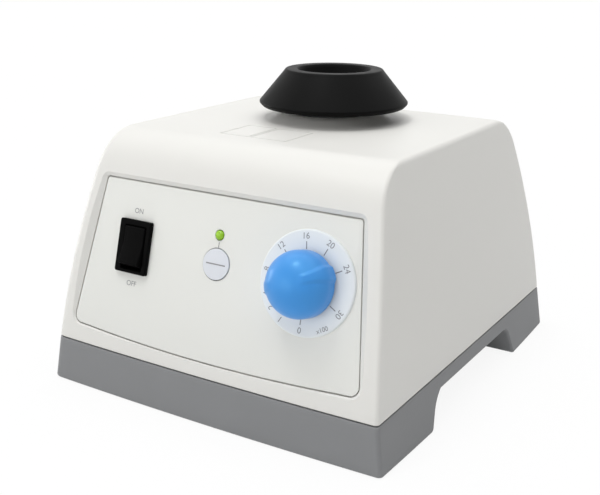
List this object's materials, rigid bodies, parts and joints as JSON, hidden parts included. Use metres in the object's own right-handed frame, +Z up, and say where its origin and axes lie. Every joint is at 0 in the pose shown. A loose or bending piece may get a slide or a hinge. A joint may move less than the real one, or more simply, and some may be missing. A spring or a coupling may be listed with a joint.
{
  "type": "vortex mixer",
  "caption": "Bench-top laboratory vortex mixer: white cast housing on a grey plinth, rocker switch, mode button, speed dial and an orbiting rubber cup.",
  "frame": {"origin": "on the table under the feet, in the middle of the box round the whole object", "axes": "+X to the right as seen from the front panel, +Y to the rear, +Z up"},
  "size_m": [0.1492, 0.1691, 0.1181],
  "materials": {
    "housing_paint": "satin white powder coat on a cast shell",
    "panel_paint": "smooth satin white, printed in grey",
    "plinth_plastic": "fine-textured mid grey",
    "dial_plastic": "pale lilac overlay with grey print",
    "button_plastic": "pale lilac, grey ring",
    "knob_plastic": "satin blue",
    "lamp_lens": "clear green lens",
    "switch_plastic": "black",
    "inlet_plastic": "black",
    "cup_rubber": "matt black moulded rubber",
    "foot_rubber": "matt black",
    "small_steel": "zinc plated",
    "spring_steel": "drawn spring wire",
    "pin_brass": "nickel plated",
    "control_metal": "pressed case",
    "carriage_aluminium": "milled",
    "motor_steel": "turned",
    "inner_plastic": "black",
    "magnet_ferrite": "dark ferrite",
    "winding_copper": "enamelled copper wire",
    "board_laminate": "green solder mask"
  },
  "bodies": {
    "chassis": {"base_plinth": "plinth_plastic", "base_screw_front_left": "small_steel", "base_screw_front_right": "small_steel", "base_screw_rear_left": "small_steel", "base_screw_rear_right": "small_steel", "board_screw_lower": "small_steel", "board_screw_upper": "small_steel", "bushing_nut": "small_steel", "button_contact": "inner_plastic", "control_board": "board_laminate", "dial_plate": "dial_plastic", "foot_front_left": "foot_rubber", "foot_front_right": "foot_rubber", "foot_rear_left": "foot_rubber", "foot_rear_right": "foot_rubber", "front_panel": "panel_paint", "head_collar": "housing_paint", "inlet_pin_earth": "pin_brass", "inlet_pin_line": "pin_brass", "inlet_pin_neutral": "pin_brass", "lamp_lens": "lamp_lens", "power_inlet": "inlet_plastic", "return_spring_front_left": "spring_steel", "return_spring_front_right": "spring_steel", "return_spring_rear_left": "spring_steel", "return_spring_rear_right": "spring_steel", "rocker_pin": "small_steel", "sensor_post": "carriage_aluminium", "shoulder_bolt_front_left": "small_steel", "shoulder_bolt_front_right": "small_steel", "shoulder_bolt_rear_left": "small_steel", "shoulder_bolt_rear_right": "small_steel", "speed_potentiometer": "control_metal", "supply_board": "board_laminate", "supply_capacitor": "inner_plastic", "switch_frame": "switch_plastic", "touch_sensor": "inner_plastic", "transformer": "magnet_ferrite", "upper_housing": "housing_paint"},
    "rocker": {"switch_rocker": "switch_plastic"},
    "button": {"mode_button": "button_plastic"},
    "knob": {"speed_knob": "knob_plastic", "knob_shaft": "small_steel"},
    "carriage": {"motor_carriage": "carriage_aluminium", "motor_can": "motor_steel", "motor_end_cap": "inner_plastic", "motor_magnet_left": "magnet_ferrite", "motor_magnet_right": "magnet_ferrite", "touch_flag": "inner_plastic"},
    "rotor": {"motor_shaft": "motor_steel", "rotor_winding": "winding_copper", "eccentric_hub": "motor_steel", "hub_set_screw": "small_steel"},
    "head": {"orbit_bearing": "motor_steel", "cup_holder": "carriage_aluminium", "rubber_cup": "cup_rubber"}
  },
  "joints": [
    {"name": "speed_knob_turn", "type": "hinge", "parent": "chassis", "child": "knob", "pos_m": [0.0377, -0.06912, 0.05765], "axis": [0.0228, -0.9648, 0.2621], "range_deg": [-57, 242]},
    {"name": "power_rocker", "type": "hinge", "parent": "chassis", "child": "rocker", "pos_m": [-0.03644, -0.06671, 0.05709], "axis": [0.9998, -0.0213, 0.0058], "range_deg": [0, 24]},
    {"name": "mode_button_press", "type": "slide", "parent": "chassis", "child": "button", "axis": [-0.0004, 0.965, -0.2622], "range_m": [0, 0.0005], "stiffness_N_per_m": 500, "springref_m": -0.0005},
    {"name": "head_press", "type": "slide", "parent": "chassis", "child": "carriage", "axis": [0, 0, 1], "range_m": [-0.0018, 0], "stiffness_N_per_m": 6000, "springref_m": 0.004, "deforming": ["return_spring_front_left", "return_spring_front_right", "return_spring_rear_left", "return_spring_rear_right"]},
    {"name": "motor_spin", "type": "hinge", "parent": "carriage", "child": "rotor", "pos_m": [0, 0.01103, 0], "axis": [0, 0, 1], "continuous": true},
    {"name": "cup_orbit", "type": "hinge", "parent": "rotor", "child": "head", "pos_m": [0, 0.01328, 0], "axis": [0, 0, 1], "continuous": true}
  ],
  "couplings": [
    {"joint": "cup_orbit", "follows": "motor_spin", "ratio": -1}
  ]
}
